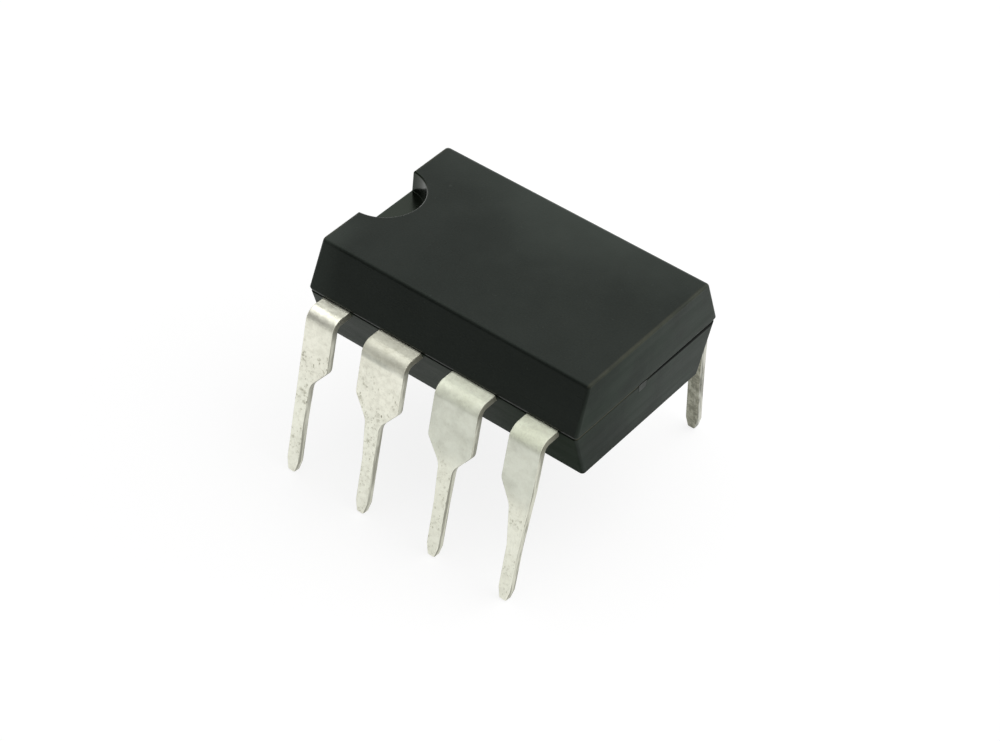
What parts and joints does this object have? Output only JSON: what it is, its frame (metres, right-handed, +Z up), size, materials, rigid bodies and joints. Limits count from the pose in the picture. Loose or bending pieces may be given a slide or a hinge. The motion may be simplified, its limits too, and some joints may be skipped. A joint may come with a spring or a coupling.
{
  "type": "dip integrated circuit chip",
  "caption": "Dual in-line integrated circuit: black moulded body with an end notch on two rows of splayed, tin-plated leads.",
  "frame": {"origin": "below the middle of the body, on the plane of the eight lead tips that it stands on", "axes": "+X along the body away from the notch, +Y towards leads 5 to 8, +Z up out of the bare top face"},
  "size_m": [0.0092, 0.0094, 0.0072],
  "materials": {
    "moulding_compound": "fine matt black epoxy, slightly grey",
    "tin_plate": "dull warm tin plate with dark pits and scuffs",
    "frame_copper": "bare copper alloy strip",
    "die_glue": "silver-filled epoxy",
    "silicon": "polished silicon",
    "bond_gold": "drawn gold wire"
  },
  "bodies": {
    "root": {"package_body": "moulding_compound", "lead_1": "tin_plate", "lead_2": "tin_plate", "lead_3": "tin_plate", "lead_4": "tin_plate", "lead_5": "tin_plate", "lead_6": "tin_plate", "lead_7": "tin_plate", "lead_8": "tin_plate", "die_pad": "frame_copper", "die_attach": "die_glue", "silicon_die": "silicon", "bond_wire_1": "bond_gold", "bond_wire_2": "bond_gold", "bond_wire_3": "bond_gold", "bond_wire_4": "bond_gold", "bond_wire_5": "bond_gold", "bond_wire_6": "bond_gold", "bond_wire_7": "bond_gold", "bond_wire_8": "bond_gold"}
  },
  "joints": []
}
